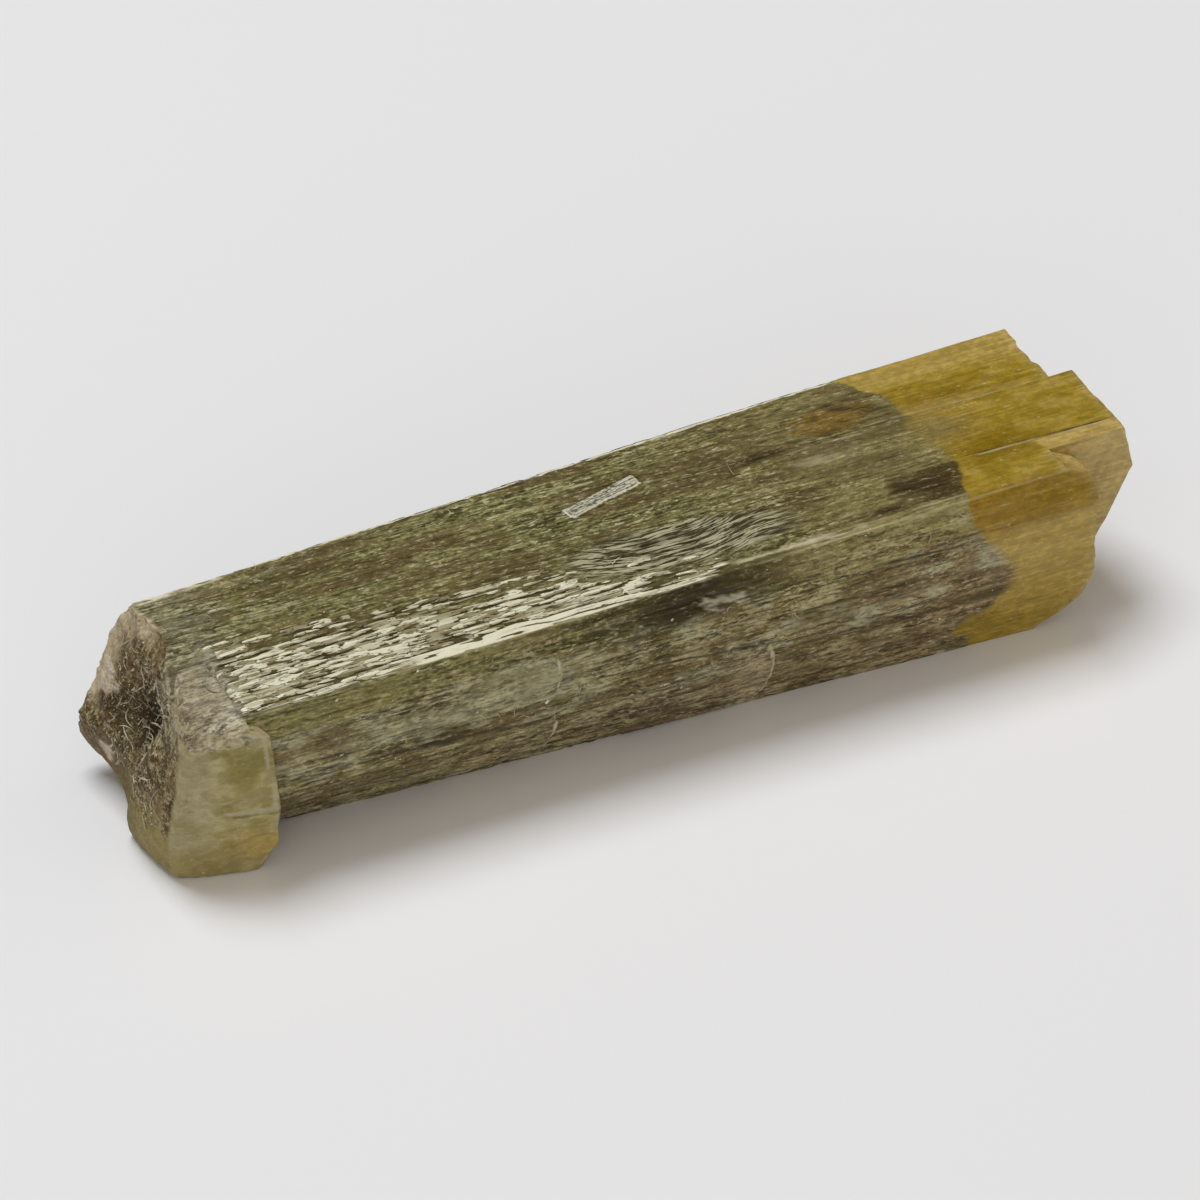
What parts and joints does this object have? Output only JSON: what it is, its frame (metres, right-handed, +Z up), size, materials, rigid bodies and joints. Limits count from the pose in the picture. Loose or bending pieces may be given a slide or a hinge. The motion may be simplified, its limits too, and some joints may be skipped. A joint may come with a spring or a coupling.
{
  "type": "diopside crystal",
  "caption": "Loose striated diopside prism lying on a flat side, with stepped honey-yellow tips at one end and a broken, pitted end with a smooth lip at the other.",
  "frame": {"origin": "middle of the crystal's footprint, on the surface it lies on", "axes": "+X along the crystal to its yellow tips, -Y its broad front face, +Z up"},
  "size_m": [0.029, 0.0074, 0.0057],
  "materials": {
    "crystal": "striated olive-green crystal, cloudy in the body and clear honey-yellow at the tips"
  },
  "bodies": {
    "root": {"diopside_crystal": "crystal"}
  },
  "joints": []
}
